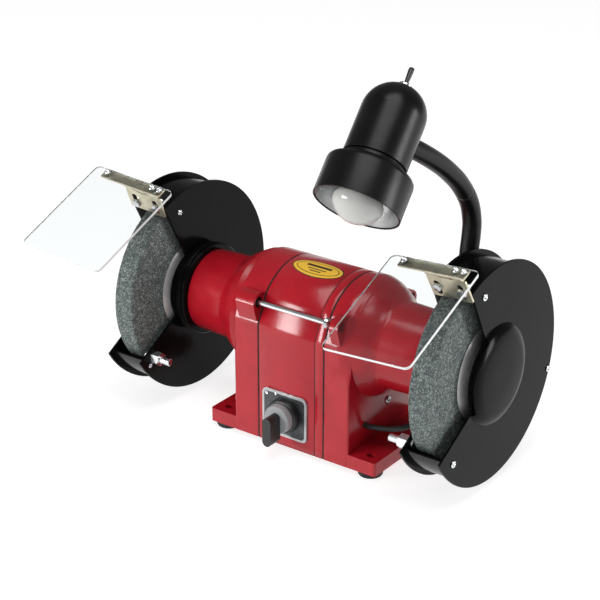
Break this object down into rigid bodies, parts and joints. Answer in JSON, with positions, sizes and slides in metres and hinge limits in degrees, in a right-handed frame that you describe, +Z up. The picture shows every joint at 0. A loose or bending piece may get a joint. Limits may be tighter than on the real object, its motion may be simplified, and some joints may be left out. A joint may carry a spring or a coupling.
{
  "type": "bench grinder",
  "caption": "Double-ended bench grinder with guarded wheels, tilting eye shields, rotary switch and a gooseneck work lamp.",
  "frame": {"origin": "on the underside plane of the base, below the middle of the shaft", "axes": "+X along the shaft to the lamp's end, -Y to the front where the operator stands, +Z up"},
  "size_m": [0.4616, 0.303, 0.432],
  "materials": {
    "red_enamel": "gloss enamel on cast metal",
    "black_enamel": "gloss enamel on pressed sheet",
    "satin_black": "satin paint",
    "abrasive_stone": "bonded grit, dressed",
    "bright_steel": "turned and bright",
    "zinc_sheet": "zinc plated sheet",
    "switch_metal": "brushed plate",
    "motor_core": "varnished laminations",
    "black_plastic": "moulded",
    "clear_plastic": "clear sheet",
    "foot_rubber": "moulded rubber",
    "lead_rubber": "smooth cable sheath",
    "bulb_glass": "frosted front"
  },
  "bodies": {
    "motor_frame": {"middle_housing": "red_enamel", "spacer_ring": "red_enamel", "right_end_bell": "red_enamel", "left_end_bell": "red_enamel", "base_cover": "zinc_sheet", "foot_front_left": "foot_rubber", "foot_rear_left": "foot_rubber", "foot_front_right": "foot_rubber", "foot_rear_right": "foot_rubber", "front_tie_bolt": "bright_steel", "rear_tie_bolt": "bright_steel", "stator": "motor_core", "right_bearing": "bright_steel", "left_bearing": "bright_steel", "capacitor": "black_plastic", "mains_gland": "black_plastic", "right_guard": "black_enamel", "left_guard": "black_enamel", "right_cover": "black_enamel", "left_cover": "black_enamel", "right_neck_collar": "black_enamel", "left_neck_collar": "black_enamel", "right_rest_bolt": "bright_steel", "left_rest_bolt": "bright_steel", "right_rest_nut": "bright_steel", "left_rest_nut": "bright_steel", "switch_plate": "switch_metal", "switch_body": "black_plastic", "right_arrestor_bolt_a": "bright_steel", "right_arrestor_bolt_b": "bright_steel", "left_arrestor_bolt_a": "bright_steel", "left_arrestor_bolt_b": "bright_steel", "lamp_bracket": "black_enamel", "lamp_lead": "lead_rubber"},
    "rotor": {"shaft": "bright_steel", "rotor_core": "motor_core", "right_wheel": "abrasive_stone", "right_inner_flange": "bright_steel", "right_outer_flange": "bright_steel", "right_wheel_nut": "bright_steel", "left_wheel": "abrasive_stone", "left_inner_flange": "bright_steel", "left_outer_flange": "bright_steel", "left_wheel_nut": "bright_steel"},
    "switch_knob": {"switch_knob": "black_plastic"},
    "right_arrestor": {"right_spark_arrestor": "zinc_sheet"},
    "right_shield": {"right_shield_strip": "zinc_sheet", "right_eye_shield": "clear_plastic"},
    "left_arrestor": {"left_spark_arrestor": "zinc_sheet"},
    "left_shield": {"left_shield_strip": "zinc_sheet", "left_eye_shield": "clear_plastic"},
    "neck_base": {"neck_lower": "satin_black"},
    "neck_mid": {"neck_middle": "satin_black"},
    "lamp_head": {"neck_upper": "satin_black", "lamp_cap": "satin_black", "lamp_shade": "satin_black", "lamp_socket": "black_plastic", "lamp_bulb": "bulb_glass"},
    "lamp_toggle": {"lamp_toggle": "black_plastic"}
  },
  "joints": [
    {"name": "rotor_spin", "type": "hinge", "parent": "motor_frame", "child": "rotor", "pos_m": [0, 0, 0.1174], "axis": [1, 0, 0], "continuous": true},
    {"name": "switch_turn", "type": "hinge", "parent": "motor_frame", "child": "switch_knob", "pos_m": [0.0008, -0.076, 0.0367], "axis": [0, -1, 0], "range_deg": [0, 90]},
    {"name": "right_arrestor_slide", "type": "slide", "parent": "motor_frame", "child": "right_arrestor", "axis": [-0.0924, -0.452, 0.8872], "range_m": [-0.001, 0.005]},
    {"name": "right_shield_tilt", "type": "hinge", "parent": "right_arrestor", "child": "right_shield", "pos_m": [0.18275, -0.06241, 0.23702], "axis": [0.9957, -0.0419, 0.0823], "range_deg": [-40, 20]},
    {"name": "left_arrestor_slide", "type": "slide", "parent": "motor_frame", "child": "left_arrestor", "axis": [0.1045, -0.4515, 0.8861], "range_m": [-0.0035, 0.0025]},
    {"name": "left_shield_tilt", "type": "hinge", "parent": "left_arrestor", "child": "left_shield", "pos_m": [-0.18251, -0.06353, 0.23923], "axis": [0.9945, 0.0475, -0.0931], "range_deg": [-60, 20]},
    {"name": "lamp_swivel", "type": "hinge", "parent": "motor_frame", "child": "neck_base", "pos_m": [0.15, 0.035, 0.191], "axis": [0, 0, 1], "range_deg": [-30, 30]},
    {"name": "neck_bend_low", "type": "hinge", "parent": "neck_base", "child": "neck_mid", "pos_m": [0.15, 0.03867, 0.25192], "axis": [1, 0, 0], "range_deg": [-15, 8]},
    {"name": "neck_bend_high", "type": "hinge", "parent": "neck_mid", "child": "lamp_head", "pos_m": [0.14889, -0.01127, 0.31775], "axis": [1, 0, 0], "range_deg": [-18, 10]},
    {"name": "lamp_toggle_rock", "type": "hinge", "parent": "lamp_head", "child": "lamp_toggle", "pos_m": [0.14182, -0.07645, 0.40964], "axis": [0.9952, 0.0976, 0], "range_deg": [0, 18]}
  ]
}
